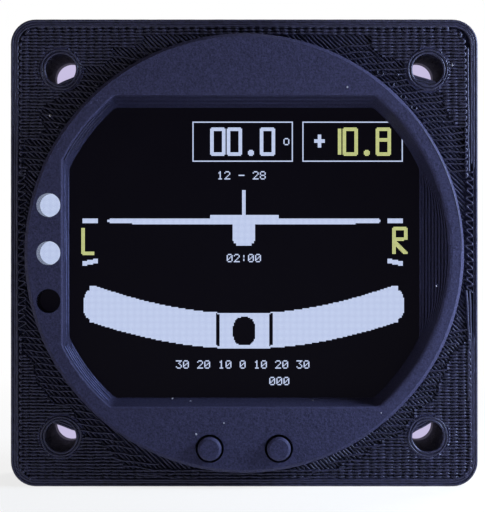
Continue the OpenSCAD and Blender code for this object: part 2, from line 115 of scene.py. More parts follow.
def addCamera(look):
    data = bpy.data.cameras.new("photoCamera")
    data.lens = look["lens"]
    data.sensor_width = look["sensor"]
    data.shift_x, data.shift_y = look["shift"]
    data.clip_start, data.clip_end = look["clip"]
    camera = linkObject("photoCamera", data)
    camera.location = Vector(look["place"]) * mm
    camera.rotation_euler = (uprightTurn, 0, 0)
    bpy.context.scene.camera = camera


def addLamp(name, look):
    data = bpy.data.lights.new(name, "AREA")
    data.shape = "DISK"
    data.size = look["size"]
    data.energy = look["power"]
    data.color = look["colour"]
    lamp = linkObject(name, data)
    lamp.location = look["place"]
    lamp.rotation_euler = (-Vector(look["place"])).to_track_quat("-Z", "Y").to_euler()


def setInputs(tree, node, inputs):
    # an input is a fixed value, or what another node gives
    for socket, value in inputs.items():
        if isinstance(value, bpy.types.NodeSocket):
            tree.links.new(value, node.inputs[socket])
        else:
            node.inputs[socket].default_value = value


def addNode(tree, kind, inputs=None, **settings):
    node = tree.nodes.new("ShaderNode" + kind)
    for name, setting in settings.items():
        setattr(node, name, setting)
    setInputs(tree, node, inputs or {})
    return node


def addMath(tree, operation, *sides):
    return addNode(tree, "Math", dict(enumerate(sides)), operation=operation).outputs[0]


def mixShaders(tree, share, first, second):
    return addNode(tree, "MixShader", {0: share, 1: first.outputs[0], 2: second.outputs[0]})


def emptyTree(owner):
    owner.use_nodes = True
    owner.node_tree.nodes.clear()
    return owner.node_tree


def seenRays(tree, asGloss=True):
    # 1 where the background itself is seen, straight on or in metal and glass
    path = addNode(tree, "LightPath").outputs
    total = path["Is Camera Ray"]
    for ray in ("Is Glossy Ray", "Is Transmission Ray") if asGloss else ():
        total = addMath(tree, "MAXIMUM", total, path[ray])
    return total


def pageWhite(name, look, shade, reach=(1, 2)):
    # plain white page whose real light and shadow show only near the case
    material = bpy.data.materials.new(name)
    tree = emptyTree(material)
    coords = addNode(tree, "TexCoord").outputs["Object"]
    away = addNode(tree, "VectorMath", {0: coords}, operation="LENGTH").outputs["Value"]
    fade = addRange(tree, away, 1 - shade, 1, *reach)
    paper = addNode(tree, "BsdfDiffuse", {"Color": (*look["paper"], 1)})
    page = mixShaders(tree, addMath(tree, "MULTIPLY", seenRays(tree), fade), paper, addNode(tree, "Emission"))
    addNode(tree, "OutputMaterial", {"Surface": page.outputs[0]})
    return material


def addSheet(name, bm, place, material):
    bmesh.ops.translate(bm, verts=bm.verts, vec=place)
    sheet = toObject(bm, name)
    sheet.data.materials.append(material)


def squareSheet(size):
    bm = bmesh.new()
    bmesh.ops.create_grid(bm, x_segments=1, y_segments=1, size=size / 2)
    return bm


def addPages(look):
    floor = pageWhite("floorPaper", look, look["floorShade"], look["shadeReach"])
    addSheet("floor", squareSheet(look["floorSize"]), (0, 0, cadBox[0].z - look["floorGap"] * mm), floor)
    backdrop = squareSheet(look["backdropSize"])
    standUp(backdrop)
    addSheet("backdrop", backdrop, (0, look["backdropAt"], 0), pageWhite("backdropPaper", look, 0.0))


def addCards(look):
    # small lilac cards in the far ends of the panel holes, which show through them from the front only
    material = bpy.data.materials.new("lilacCard")
    tree = emptyTree(material)
    colour = (*look["cardColour"], 1)
    glow = addNode(tree, "Emission", {"Color": colour})
    faint = addNode(tree, "Emission", {"Color": colour, "Strength": look["cardSpill"]})
    seen = mixShaders(tree, seenRays(tree, asGloss=False), faint, glow)
    rear = addNode(tree, "NewGeometry").outputs["Backfacing"]
    front = mixShaders(tree, rear, seen, addNode(tree, "BsdfTransparent"))
    addNode(tree, "OutputMaterial", {"Surface": front.outputs[0]})
    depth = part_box("rear_cover")[1].y - look["cardDepth"] * mm
    for x, z in corners:
        bm = bmesh.new()
        bmesh.ops.create_circle(bm, cap_ends=True, segments=48, radius=look["cardRadius"] * mm)
        standUp(bm)
        addSheet(f"card_{x}_{z}".replace("-", "m"), bm, (x * holeAt * mm, depth, z * holeAt * mm), material)


def addWorld(look):
    world = bpy.data.worlds.new("studioWorld")
    bpy.context.scene.world = world
    tree = emptyTree(world)
    dim = addNode(tree, "Background", {"Color": (*look["ambient"], 1), "Strength": look["ambientStrength"]})
    page = addNode(tree, "Background", {"Color": (1, 1, 1, 1)})
    sky = mixShaders(tree, seenRays(tree, asGloss=False), dim, page)
    addNode(tree, "OutputWorld", {"Surface": sky.outputs[0]})


def addNoise(tree, coords, perMm, detail=2.0, roughness=0.5):
    # perMm: how often the grain repeats in a millimetre
    grain = addNode(tree, "TexNoise", {
        "Vector": coords, "Scale": perMm / mm, "Detail": detail, "Roughness": roughness})
    return grain.outputs["Fac"]


def addRange(tree, value, low, high, fromLow=0.3, fromHigh=0.7):
    spread = addNode(tree, "MapRange", {
        "Value": value, "From Min": fromLow, "From Max": fromHigh, "To Min": low, "To Max": high})
    return spread.outputs["Result"]


def addBlend(tree, value, first, second):
    mix = addNode(tree, "Mix", {"Factor": value, "A": (*first, 1), "B": (*second, 1)}, data_type="RGBA")
    return mix.outputs["Result"]


def addBump(tree, height, depth, strength):
    return addNode(tree, "Bump", {
        "Height": height, "Distance": depth * mm, "Strength": strength}).outputs["Normal"]


def startMaterial(name):
    material = bpy.data.materials.new(name)
    material.use_nodes = True
    tree = material.node_tree
    shader = next(n for n in tree.nodes if n.type == "BSDF_PRINCIPLED")
    return material, tree, shader, addNode(tree, "TexCoord").outputs["Object"]


def grainedPlastic(name, look):
    # moulded or printed plastic: soft mottling, fine grain and uneven gloss
    material, tree, shader, coords = startMaterial(name)
    mottle = addNoise(tree, coords, look["mottleScale"], *look.get("mottle", (3.0, 0.5)))
    grain = addNoise(tree, coords, look["grainScale"], look.get("grainDetail", 3.0), 0.6)
    setInputs(tree, shader, {
        "Base Color": addBlend(tree, addRange(tree, mottle, 0, 1), look["dark"], look["light"]),
        "Roughness": addRange(tree, grain, *look["roughness"]),
        "Normal": addBump(tree, grain, look["grainDepth"], 0.8),
        "Specular IOR Level": look.get("specular", 0.5),
        "Specular Tint": (*look.get("tint", (1, 1, 1)), 1),
    })
    return material


def platedMetal(name, look):
    # bright plating with drawn lines along one axis and a few dull patches
    material, tree, shader, coords = startMaterial(name)
    stretch = addNode(tree, "Mapping", {"Vector": coords, "Scale": look["lines"]}).outputs[0]
    lines = addNoise(tree, stretch, look["lineScale"], 3.0, 0.6)
    patches = addRange(tree, addNoise(tree, coords, 0.5, 3.0), 0, 1)
    setInputs(tree, shader, {
        "Base Color": addBlend(tree, patches, look["dark"], look["light"]),
        "Roughness": addRange(tree, lines, *look["roughness"]),
        "Normal": addBump(tree, lines, look["lineDepth"], 0.6),
        "Metallic": 1.0,
    })
    return material


def maskedBoard(name, look):
    # solder mask over copper: tracks show as slightly raised, lighter green lines
    material, tree, shader, coords = startMaterial(name)
    turned = addNode(tree, "Mapping", {"Vector": coords, "Rotation": (uprightTurn, 0, 0)}).outputs[0]
    tracks = addNode(tree, "TexBrick", {
        "Vector": turned, "Scale": look["trackScale"] / mm, "Mortar Size": look["trackWidth"],
        "Color1": (0, 0, 0, 1), "Color2": (0, 0, 0, 1), "Mortar": (1, 1, 1, 1),
    }, offset=0.37).outputs["Color"]
    weave = addNoise(tree, coords, look["weaveScale"], 2.0)
    setInputs(tree, shader, {
        "Base Color": addBlend(tree, tracks, look["mask"], look["track"]),
        "Roughness": addRange(tree, weave, *look["roughness"]),
        "Normal": addBump(tree, tracks, 0.02, 0.7),
    })
    return material


def coatedGlass(name, look):
    material, tree, shader, coords = startMaterial(name)
    smear = addNoise(tree, coords, 0.25, 4.0)
    setInputs(tree, shader, {
        "Base Color": addBlend(tree, smear, look["dark"], look["light"]),
        "Roughness": addRange(tree, smear, *look["roughness"]),
        "Normal": addBump(tree, smear, 0.002, 0.5),
        "Specular IOR Level": look["specular"],
    })
    if "leak" in look:
        # a little of the backlight comes through the dark picture
        setInputs(tree, shader, {"Emission Color": (*look["leak"], 1), "Emission Strength": 1.0})
    return material


def lookTable(words, rows):
    return {name: dict(zip(words, row)) for name, row in rows.items()}


printedLook = {
    "dark": (0.021, 0.0205, 0.047),
    "light": (0.052, 0.051, 0.113),
    "mottleScale": 5.0,
    "mottle": (4.0, 0.57),  # detail and roughness of the mottling
    "grainScale": 3.0,
    "grainDetail": 4.0,
    "grainDepth": 0.11,
    "roughness": (0.5, 0.7),
    "specular": 0.16,
    "tint": (0.62, 0.68, 1.0),
}

plasticLooks = {
    "printedPlastic": printedLook,
    "beadPlastic": {
        "dark": (0.014, 0.014, 0.030), "light": (0.032, 0.030, 0.066), "mottleScale": 1.6, "grainScale": 7.0,
        "grainDepth": 0.008, "roughness": (0.3, 0.48), "specular": 0.45, "tint": (0.7, 0.74, 1.0)},
    "coverPlastic": {
        "dark": (0.014, 0.015, 0.034), "light": (0.022, 0.024, 0.052), "mottleScale": 0.6,
        "grainScale": 5.0, "grainDepth": 0.012, "roughness": (0.36, 0.5)},
    "borePlastic": {
        **printedLook, "dark": (0.014, 0.013, 0.034), "light": (0.034, 0.031, 0.075),
        "grainDepth": 0.01, "roughness": (0.13, 0.24), "specular": 0.3, "tint": (0.42, 0.66, 1.0)},
    "buttonPlastic": {**printedLook, "grainScale": 4.5, "grainDepth": 0.04},
    # painted highlight: the torn layers on the lit left walls of the window get a plastic much lighter than the
    # print
    "tornPlasticPaintedHighlight": {
        "dark": (0.034, 0.036, 0.10), "light": (0.088, 0.096, 0.22), "mottleScale": 2.5, "grainScale": 8.0,
        "grainDepth": 0.008, "roughness": (0.35, 0.55), "specular": 0.35, "tint": (0.7, 0.76, 1.0)},
    # the plainer finishes, a row for each
    **lookTable(("dark", "light", "mottleScale", "grainScale", "grainDepth", "roughness"), {
        # pale specks: partly dust, partly painted highlights
        "dustAndGlintPlastic": ((0.26, 0.26, 0.32), (0.52, 0.52, 0.60), 6.0, 9.0, 0.01, (0.5, 0.7)),
        "chipPlastic": ((0.012, 0.012, 0.013), (0.025, 0.025, 0.027), 1.0, 9.0, 0.006, (0.45, 0.6)),
        "switchPlastic": ((0.020, 0.020, 0.022), (0.034, 0.034, 0.037), 1.2, 8.0, 0.005, (0.35, 0.5)),
        "insulatorPlastic": ((0.016, 0.020, 0.034), (0.030, 0.036, 0.056), 0.8, 8.0, 0.006, (0.35, 0.5)),
        "socketPlastic": ((0.70, 0.65, 0.52), (0.80, 0.76, 0.64), 0.7, 6.0, 0.004, (0.4, 0.5)),
        "guidePlastic": ((0.78, 0.79, 0.82), (0.86, 0.87, 0.89), 0.3, 4.0, 0.003, (0.35, 0.45)),
        "foamRubber": ((0.07, 0.07, 0.075), (0.14, 0.14, 0.15), 1.5, 5.0, 0.12, (0.85, 0.95)),
        "ferriteStone": ((0.10, 0.10, 0.105), (0.17, 0.17, 0.175), 1.0, 8.0, 0.015, (0.5, 0.7)),
        "capacitorResin": ((0.62, 0.36, 0.07), (0.76, 0.48, 0.12), 0.9, 7.0, 0.006, (0.35, 0.5)),
        "flexFilm": ((0.48, 0.21, 0.035), (0.60, 0.29, 0.06), 0.5, 3.0, 0.004, (0.12, 0.25)),
    }),
}

metalLooks = lookTable(("dark", "light", "lines", "lineScale", "lineDepth", "roughness"), {
    "zincSteel": ((0.50, 0.50, 0.52), (0.60, 0.60, 0.62), (1, 0.08, 1), 4.0, 0.002, (0.24, 0.38)),
    "tinPlate": ((0.56, 0.56, 0.58), (0.74, 0.74, 0.75), (0.15, 1, 1), 3.0, 0.004, (0.16, 0.34)),
    "turnedBrass": ((0.60, 0.42, 0.16), (0.78, 0.58, 0.27), (1, 0.1, 1), 4.0, 0.006, (0.2, 0.38)),
    "goldFlash": ((0.72, 0.50, 0.16), (0.86, 0.65, 0.26), (1, 0.2, 1), 4.0, 0.003, (0.16, 0.3)),
})

boardLook = {
    "mask": (0.008, 0.085, 0.030), "track": (0.020, 0.170, 0.060), "trackScale": 0.5,
    "trackWidth": 0.03, "weaveScale": 4.0, "roughness": (0.18, 0.34)}

glassLooks = {
    "polariserFilm": {
        "dark": (0.0008, 0.0007, 0.0014), "light": (0.0012, 0.0010, 0.0020), "roughness": (0.28, 0.36),
        "specular": 0.03, "leak": (0.0022, 0.0019, 0.0038)},
    "displayGlass": {
        "dark": (0.02, 0.022, 0.026), "light": (0.03, 0.034, 0.04), "roughness": (0.05, 0.12),
        "specular": 0.6},
}

# the CAD's own nodes that each finish goes on
nodeFinishes = {
    "coverPlastic": ("rear_cover",),
    "polariserFilm": ("polariser",),
    "displayGlass": ("front_glass", "rear_glass"),
    "chipPlastic": ("driver_chip", "microcontroller", "gyro_sensor", "regulator"),
    "guidePlastic": ("backlight",),
    "flexFilm": ("lcd_flex",),
    "foamRubber": ("foam_strips",),
    "boardMask": ("main_board",),
    "socketPlastic": ("flex_socket",),
    "zincSteel": ("crystal", "board_screws", "cover_screws", "jack_nuts", "jack_screws"),
    "ferriteStone": ("inductor",),
    "capacitorResin": ("capacitors",),
    "switchPlastic": ("left_switch", "right_switch", "left_switch_plunger", "right_switch_plunger"),
    "buttonPlastic": ("left_button_cap", "right_button_cap"),
    "turnedBrass": ("cover_inserts",),
    "tinPlate": ("connector_shell",),
    "insulatorPlastic": ("connector_insulator",),
    "goldFlash": ("connector_contacts",),
}

bpy.context.scene.view_settings.view_transform = "Standard"
addCamera(photoView)
addWorld(studio)
addPages(studio)
addCards(studio)
for lampName, lampLook in studio["lamps"].items():
    addLamp(lampName + "Lamp", lampLook)
print("studio ready")

finishes = {"boardMask": maskedBoard("boardMask", boardLook)}
for makeFinish, looks in (grainedPlastic, plasticLooks), (platedMetal, metalLooks), (coatedGlass, glassLooks):
    finishes.update((name, makeFinish(name, look)) for name, look in looks.items())
for finishName, nodeNames in nodeFinishes.items():
    for nodeName in nodeNames:
        for materialSlot in nodes[nodeName].material_slots:
            materialSlot.material = finishes[finishName]
print("materials ready:", len(finishes), "finishes")


def solidObject(bm, name):
    bmesh.ops.recalc_face_normals(bm, faces=bm.faces)
    return toObject(bm, name)


def finishPiece(piece, finish, smooth=35):
    piece.data.transform(Matrix.Scale(mm, 4))
    piece.data.materials.clear()
    piece.data.materials.append(finishes[finish])
    piece.data.set_sharp_from_angle(angle=radians(smooth))
    # broad faces and faces square to the view are flat
    rounded = [len(face.vertices) < 5 and abs(face.normal.y) < 0.999 for face in piece.data.polygons]
    piece.data.polygons.foreach_set("use_smooth", rounded)
    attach(piece, "case")


def combine(target, tool, operation):
    # works one solid into another and throws the tool away
    change = target.modifiers.new("combine", "BOOLEAN")
    change.operation = operation
    change.solver = "MANIFOLD"
    change.object = tool
    old, toolMesh = target.data, tool.data
    graph = bpy.context.evaluated_depsgraph_get()
    target.data = bpy.data.meshes.new_from_object(target.evaluated_get(graph))
    target.modifiers.clear()
    bpy.data.objects.remove(tool)
    for mesh in (old, toolMesh):
        bpy.data.meshes.remove(mesh)


def copyNode(nodeName, name):
    # a merged copy of a CAD node, in millimetres
    bm = bmesh.new()
    bm.from_mesh(nodes[nodeName].data)
    bmesh.ops.scale(bm, verts=bm.verts, vec=(1 / mm,) * 3)
    bmesh.ops.remove_doubles(bm, verts=bm.verts, dist=0.0005)
    return solidObject(bm, name)


def ofKind(geometry, kind):
    return [g for g in geometry if isinstance(g, kind)]


def extrudeRing(bm, edges):
    grown = bmesh.ops.extrude_edge_only(bm, edges=edges)["geom"]
    return ofKind(grown, bmesh.types.BMVert), ofKind(grown, bmesh.types.BMEdge)


def closeEnds(bm):
    bmesh.ops.holes_fill(bm, edges=[e for e in bm.edges if e.is_boundary], sides=0)


def layerRings(start, end, pitch, groove):
    # depth and inset of the rings that give each printed layer a rounded edge
    count = max(1, round(abs(end - start) / pitch))
    step = (end - start) / count
    rings = [(start, groove)]
    for layer in range(count):
        rings += [(start + step * (layer + part), inset)
                  for part, inset in ((0.22, 0.0), (0.78, 0.0), (1.0, groove))]
    return rings


def layeredPrism(name, bm, edges, reach, rings):
    # edges: a closed outline at y 0; each ring is the outline moved to a depth and drawn in a little
    scaleNow = 1.0
    verts = list({v for e in edges for v in e.verts})
    for place, (depth, inset) in enumerate(rings):
        if place:
            verts, edges = extrudeRing(bm, edges)
        wanted = (reach - inset) / reach
        bmesh.ops.scale(bm, verts=verts, vec=(wanted / scaleNow, 1, wanted / scaleNow))
        scaleNow = wanted
        for v in verts:
            v.co.y = depth
    closeEnds(bm)
    return solidObject(bm, name)


def circleOutline(radius, segments):
    bm = bmesh.new()
    bmesh.ops.create_circle(bm, segments=segments, radius=radius)
    standUp(bm)
    return bm, list(bm.edges)


def squareOutline(half, corner, segments):
    bm = bmesh.new()
    bmesh.ops.create_grid(bm, x_segments=1, y_segments=1, size=half)
    standUp(bm)
    bmesh.ops.bevel(bm, geom=list(bm.verts), offset=corner, offset_type="OFFSET", segments=segments,
                    profile=0.5, affect="VERTICES", material=-1, clamp_overlap=False)
    bmesh.ops.delete(bm, geom=list(bm.faces), context="FACES_ONLY")
    return bm, list(bm.edges)


def layeredRod(name, radius, segments, at, rings):
    bm, edges = circleOutline(radius, segments)
    rod = layeredPrism(name, bm, edges, radius, rings)
    rod.data.transform(Matrix.Translation((at[0], 0, at[1])))
    return rod


# printed housing, all in one piece with its disc

housing = {
    "half": 30.0,
    "corner": 3.2,
    "cornerSegments": 10,
    "back": 14.0,
    "skin": 0.03,  # the printed skin lies this far inside the plain solid
    "layer": 0.3,
    "groove": 0.035,
    "plateFront": 0.22,
    "pocketFloor": 1.15,
    "pocketReach": (-1.5, 2.0),  # from before to behind the pocket, for what is kept of it
    "rim": 0.5,
    "discRadius": 28.0,
    "discSegments": 240,
    "discFace": -2.5,
    "discChamfer": 0.4,
    "holeRadius": 2.1,
    "holeSegments": 48,
    "postRadius": 3.0,
}

window = {
    # radius and left, right, top and bottom edge of the opening, at the front and at the display
    "frontOutline": (25.9, 23.1, 25.88, 20.0, 19.5),
    "rearOutline": (25.1, 22.6, 22.6, 18.75, 18.75),
    "corner": 1.2,
    "front": -2.5,
    "rear": 1.9,
    "layers": 9,
    "lip": 0.16,
    # the rounded layer seen from the front: part of its step with part of its height, from its foot to its edge
    "bead": ((0.0, 0.5), (0.14, 0.42), (0.34, 0.12), (0.52, 0.0), (0.72, 0.05), (0.88, 0.24), (1.0, 0.62)),
    "spare": 0.02,  # how much wider than its outline the opening is cut
    "edgeRound": 0.25,
    "rightRound": 1.4,  # the front edge is worn rounder towards the right
    "flatPoints": 12,
    "bendPoints": 42,
}


def outlinePoint(outline, look, direction, along):
    # the place on a round opening with straight sides whose edge faces this way
    radius, left, right, top, bottom = outline
    across, up = cos(direction), sin(direction)
    inner = radius - look["corner"]
    side = (right if across > 0 else left) - look["corner"]
    end = (top if up > 0 else bottom) - look["corner"]
    if along is not None:
        reach = min(inner, side if abs(across) > abs(up) else end)
        half = sqrt(inner ** 2 - reach ** 2) * along
        x, z = reach * across - half * up, reach * up + half * across
    elif inner * abs(across) > side:
        x, z = copysign(side, across), copysign(sqrt(inner ** 2 - side ** 2), up)
    elif inner * abs(up) > end:
        x, z = copysign(sqrt(inner ** 2 - end ** 2), across), copysign(end, up)
    else:
        x, z = inner * across, inner * up
    return x + look["corner"] * across, z + look["corner"] * up


def wallPoint(look, direction, along, share):
    # the same place, this share of the way from the front outline to the display's
    front, rear = (outlinePoint(look[part], look, direction, along) for part in ("frontOutline", "rearOutline"))
    return [a * (1 - share) + b * share for a, b in zip(front, rear)]


def windowRings(look):
    # depth, share of the way to the display's outline and extra width of each ring
    front, rear, soft = look["front"], look["rear"], look["edgeRound"]
    rings = [(front - 0.5, 0.0, soft + 0.5)]
    rings += [(front + soft * (1 - cos(turn)), 0.0, soft * (1 - sin(turn)))
              for turn in (0.0, pi / 6, pi / 3, pi / 2)]
    # each layer stands back to where the slope meets its front
    step, height = 1 / look["layers"], (rear - front) / look["layers"]
    for layer in range(1, look["layers"] + 1):
        last = layer == look["layers"]
        depth = rear - look["lip"] if last else front + layer * height
        rings += [(depth + down * (look["lip"] if last else height), (layer - 1 + inward) * step, look["spare"])
                  for inward, down in look["bead"]]
    return rings + [(rear + 0.3, 1.0, look["spare"])]


def windowCutter(look):
    # a straight side has one direction and a place along it, a round one has a direction for each point
    flats, bends = look["flatPoints"], look["bendPoints"]
    directions = []
    for quarter in range(4):
        directions += [(pi / 2 * quarter, 2 * n / flats - 1) for n in range(flats + 1)]
        directions += [(pi / 2 * (quarter + n / bends), None) for n in range(1, bends)]
    count = len(directions)
    rings = windowRings(look)
    bm, edges = circleOutline(1.0, count)
    for ring in rings[1:]:
        verts, edges = extrudeRing(bm, edges)
        bmesh.ops.translate(bm, verts=verts, vec=(0, 1, 0))
    closeEnds(bm)
    for v in bm.verts:
        depth, share, spread = rings[round(v.co.y)]
        direction, along = directions[round(atan2(v.co.z, v.co.x) / (2 * pi) * count) % count]
        spread *= 1 + look["rightRound"] * max(0.0, cos(direction))
        x, z = wallPoint(look, direction, along, share)
        v.co = (x + spread * cos(direction), depth, z + spread * sin(direction))
    return solidObject(bm, "windowCutter")


def cutHousing(shell, look, half):
    # takes the grooves, the shallow pocket of the drawn lines and the four holes out of the plain solid
    bm, edges = squareOutline(half, look["corner"], look["cornerSegments"])
    rings = layerRings(look["plateFront"], look["back"] + 0.3, look["layer"], look["groove"])
    envelope = layeredPrism("envelope", bm, edges, half, rings)
    radius, chamfer = look["discRadius"] - look["skin"], look["discChamfer"]
    rimRings = [(look["discFace"] - 0.2, chamfer + 0.2)]
    rimRings += layerRings(look["discFace"] + chamfer, look["plateFront"] + 0.5, look["layer"], look["groove"])
    combine(envelope, layeredRod("discEnvelope", radius, look["discSegments"], (0, 0), rimRings), "UNION")
    combine(shell, envelope, "INTERSECT")
    print("housing skin done:", len(shell.data.polygons), "faces")

    bm, edges = squareOutline(half - look["rim"], look["corner"] - look["rim"] * 0.6, 8)
    pocket = layeredPrism("pocket", bm, edges, half, [(-1.0, 0), (look["pocketFloor"], 0)])
    kept = [(depth, 0) for depth in look["pocketReach"]]
    combine(pocket, layeredRod("keepDisc", radius - 0.05, look["discSegments"], (0, 0), kept), "DIFFERENCE")
    places = [(x * holeAt, z * holeAt) for x, z in corners]
    for place in places:
        combine(pocket, layeredRod("post", look["postRadius"], look["holeSegments"], place, kept), "DIFFERENCE")
    combine(shell, pocket, "DIFFERENCE")
    rings = [(d, -i) for d, i in layerRings(-0.5, look["back"] + 0.5, look["layer"], look["groove"])]
    for place in places:
        bore = layeredRod("bore", look["holeRadius"] + 0.01, look["holeSegments"], place, rings)
        combine(shell, bore, "DIFFERENCE")


def makeHousing(look, opening):
    shell = copyNode("front_housing", "printed_case")
    cutHousing(shell, look, look["half"] - look["skin"])
    combine(shell, windowCutter(opening), "DIFFERENCE")
    finishPiece(shell, "printedPlastic")
    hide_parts("front_housing")
    print("housing done:", len(shell.data.polygons), "faces")


makeHousing(housing, window)

# the smooth printed skin of the lamp windows, which mirrors the lit discs behind it

lampBores = {
    "across": -24.89,
    "heights": (6.1, 0.0, -6.1),
    "radius": 1.55,
    "segments": 64,
    "skin": 0.03,
    "front": -2.42,
    "rear": 1.88,
    "ridge": 0.012,
    "ridgePitch": 0.48,
}


def makeLampBores(look):
    rings = [(depth, look["skin"] + inset) for depth, inset in layerRings(
        look["front"] - 0.1, look["rear"] + 0.1, look["ridgePitch"], look["ridge"])]
    for n, height in enumerate(look["heights"], 1):
        at = (look["across"], height)
        ends = [(look["front"], 0), (look["rear"], 0)]
        sleeve = layeredRod("lamp_bore_" + str(n), look["radius"] + 0.01, look["segments"], at, ends)
        combine(sleeve, layeredRod("lampCutter", look["radius"], look["segments"], at, rings), "DIFFERENCE")
        finishPiece(sleeve, "borePlastic")


makeLampBores(lampBores)

# printed beads of the flange's face

beads = {
    # how far inside the case's edge the lines turn round: left, right at the foot and right at the top
    "leftInset": 1.36,
    "rightInset": 0.9,
    "rightTopInset": 1.85,
    "flatInset": 0.98,
    "pitch": 0.41,
    "depth": 0.2,
    "radius": 0.178,
    "wobble": 0.07,
    "roughness": 0.1,
    "thinning": 0.26,
    "sunk": 0.01,  # the least that a line lies behind the plate's front
    "discClear": 0.12,
    "ringClear": 0.22,
    "shortest": 0.35,
    "endSteps": (0.0, 0.2, 0.4, 0.62, 0.84, 1.06),
    "endKnots": (0.0, 0.62),  # how far from its ends a line is thick
    "endKnot": 1.25,
    "supportPitch": 1.04,  # the beads sag between the lines of the support that was broken off
    "sag": 0.17,
    "knot": 1.3,  # the outermost lines stuck to the support and carry a knot at each of its lines
    "knotBand": 0.6,
    # width beside the disc in which the first lines are thin and few, by (right, upper) quarter
    "openBands": {(True, True): 4.4, (False, True): 3.0, (False, False): 2.8, (True, False): 2.2},
    "wholeRim": 2.1,
    "strandRadius": 0.11,
    "strandLean": 0.09,
    "braidHalf": 10.0,
    # top, bottom, inset from the edge and width of the weave at either side of the disc
    "braids": {1: (10.6, -5.0, 0.72, 0.74), -1: (10.2, -10.2, 1.0, 0.9)},
    "braidPitch": 0.52,
    "braidSlant": 0.12,
    "underPitch": 0.43,
    "underDepth": 0.5,
    "underRadius": 0.145,
    "underStep": 0.6,
    "underClear": 2.6,
    "ringRadii": (2.14, 2.52),
    # strands that sag across each hole: side, upper, their direction from its middle and the nearest's distance
    "droops": ((1, 1, -107, 1.35), (-1, 1, -65, 1.68), (-1, -1, 70, 1.45), (1, -1, 120, 1.45)),
    "droopPitch": 0.29,
    "droopDepth": 0.3,
    "droopRadius": 0.17,
    "ringDepth": 0.22,
    "ringRadius": 0.18,
    "loopInsets": (0.2, 0.5, 0.8),
    "loopDepth": 0.205,
    "loopRadius": 0.192,
    # the first line of the disc's rim, between two directions in degrees
    "rimLine": {"reach": 27.63, "depth": -2.46, "radius": 0.075, "start": 0, "end": 42, "fade": 14},
    # strands laid along the right-hand edge: top and bottom with their insets, radius
    "edgeStrands": ((26.3, 1.3, 10.5, 1.2, 0.19), (-4.8, 1.55, -12.4, 0.98, 0.2),
                    (-4.9, 1.1, -12.4, 0.78, 0.18), (-12.4, 1.2, -19.0, 1.2, 0.19)),
    "step": 0.45,
    # torn, glossier layers on the window's left walls, in a plastic painted lighter than the print as a painted
    # highlight: from and to (parts of the straight wall, or degrees on a round one), their share of the slope,
    # and radius
    "wallStreaks": ((-0.98, 0.1, 0.3, 0.075), (-0.4, 0.98, 0.52, 0.085), (-0.92, 0.95, 0.78, 0.07),
                    (205.5, 226.5, 0.14, 0.1), (207, 228.2, 0.32, 0.11), (206, 225.2, 0.5, 0.09),
                    (208.5, 227.6, 0.68, 0.1), (207, 224.5, 0.86, 0.085)),
    "shadedStreaks": ((154, 138, 0.12, 0.09), (151, 131.5, 0.36, 0.08), (149, 136, 0.62, 0.08)),
    "curlDepth": 0.24,
    # curls of loose strand beside the disc: direction in degrees, gap from the disc, radius
    "curls": ((49, 0.75, 0.36), (44.5, 0.6, 0.3), (40.5, 0.7, 0.34), (53, 1.0, 0.4), (131, 0.7, 0.24)),
    "crumbDepth": 0.16,
    # crumbs left where the support broke off: x, z, radius
    "crumbs": ((19.6, 22.9, 0.22), (20.1, 22.5, 0.14), (25.6, 22.25, 0.2), (25.55, 22.7, 0.12),
               (25.5, 16.9, 0.15), (17.1, 21.6, 0.1), (-23.9, 16.2, 0.17), (-23.6, 15.9, 0.1),
               (-5.9, -28.3, 0.12), (24.4, -20.3, 0.13), (-21.3, -19.9, 0.11)),
    # pale specks on the print, partly dust and partly painted highlights where small bright glints show: x, z,
    # radius, depth
    "dustAndGlints": ((-6.1, -23.0, 0.13, -2.56), (-6.9, -19.05, 0.12, 0.2), (8.8, -18.95, 0.1, 0.5),
             (-9.3, -18.8, 0.12, 1.3), (13.1, 21.1, 0.11, -2.55), (-24.9, 17.6, 0.17, -0.05),
             (26.7, 24.1, 0.13, -0.05), (24.4, -4.2, 0.1, -2.45), (-2.6, -21.6, 0.08, -2.53),
             (17.4, -20.3, 0.08, -2.53)),
}


def unevenness(x, z, perMm, seed=0.0):
    return noise.noise((x * perMm, z * perMm, seed))


def startBeads(name):
    curve = bpy.data.curves.new(name, "CURVE")
    curve.dimensions = "3D"
    curve.bevel_depth = mm
    curve.bevel_resolution = 2
    curve.use_fill_caps = True
    curve.twist_mode = "MINIMUM"
    return curve


def addBead(curve, points, closed=False):
    if len(points) < 2:
        return
    spline = curve.splines.new("POLY")
    spline.points.add(len(points) - 1)
    for point, (x, y, z, radius) in zip(spline.points, points):
        point.co = (x * mm, y * mm, z * mm, 1)
        point.radius = radius
    spline.use_cyclic_u = closed


def finishBeads(curve, finish):
    holder = linkObject(curve.name, curve)
    graph = bpy.context.evaluated_depsgraph_get()
    mesh = bpy.data.meshes.new_from_object(holder.evaluated_get(graph))
    bpy.data.objects.remove(holder)
    mesh.transform(Matrix.Scale(1 / mm, 4))
    finishPiece(linkObject(curve.name, mesh), finish, smooth=60)
    mesh.calc_loop_triangles()
    print(curve.name, len(mesh.loop_triangles), "triangles")


def addRuns(curve, points):
    # a gap among the points ends one bead and lets the next begin
    run = []
    for point in [*points, None]:
        if point:
            run.append(point)
        else:
            addBead(curve, run)
            run = []


def slantedRows(pitch, step):
    # rows of places at 45 degrees that cover the whole square of the case
    reach, slope = housing["half"] * 1.42, sqrt(0.5)
    count, steps = int(reach / pitch), round(2 * reach / step)
    for row in range(-count, count + 1):
        offset, alongs = row * pitch, [-reach + 2 * reach * n / steps for n in range(steps + 1)]
        yield row, [((offset + along) * slope, (offset - along) * slope) for along in alongs]


def fullTurn(count):
    return [2 * pi * n / count for n in range(count)]


def towards(degrees):
    return cos(radians(degrees)), sin(radians(degrees))


